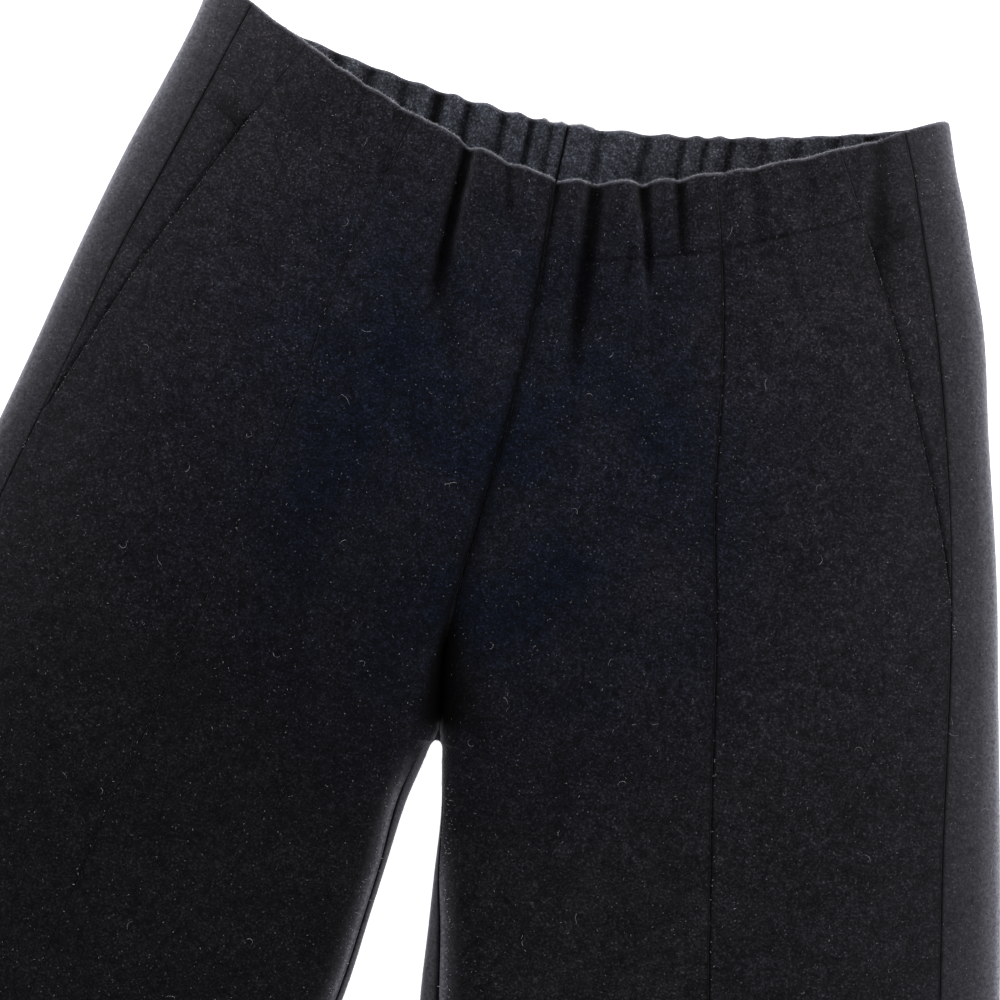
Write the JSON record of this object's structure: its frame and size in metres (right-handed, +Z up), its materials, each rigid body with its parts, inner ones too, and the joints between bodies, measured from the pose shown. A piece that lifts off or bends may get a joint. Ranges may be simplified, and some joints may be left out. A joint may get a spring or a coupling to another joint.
{
  "type": "elastic-waist trousers",
  "caption": "Wide-leg wool trousers with a gathered elastic waist and slanting side pockets, laid flat with the front up and the legs apart.",
  "frame": {"origin": "middle of the garment's outline, on the surface it lies on", "axes": "+Z up, out of the front of the garment; +Y towards the waist; +X towards the wearer's left"},
  "size_m": [0.8168, 1.045, 0.0362],
  "materials": {
    "wool": "felted wool, near-black navy with pale flecks",
    "wool_inside": "inside of the same felted wool"
  },
  "bodies": {
    "root": {"front_centre_right": "wool", "front_side_right": "wool", "pocket_facing_right": "wool", "back_right": "wool", "waist_casing_front_right": "wool_inside", "waist_casing_back_right": "wool_inside", "front_centre_left": "wool", "front_side_left": "wool", "pocket_facing_left": "wool", "back_left": "wool", "waist_casing_front_left": "wool_inside", "waist_casing_back_left": "wool_inside"}
  },
  "joints": []
}
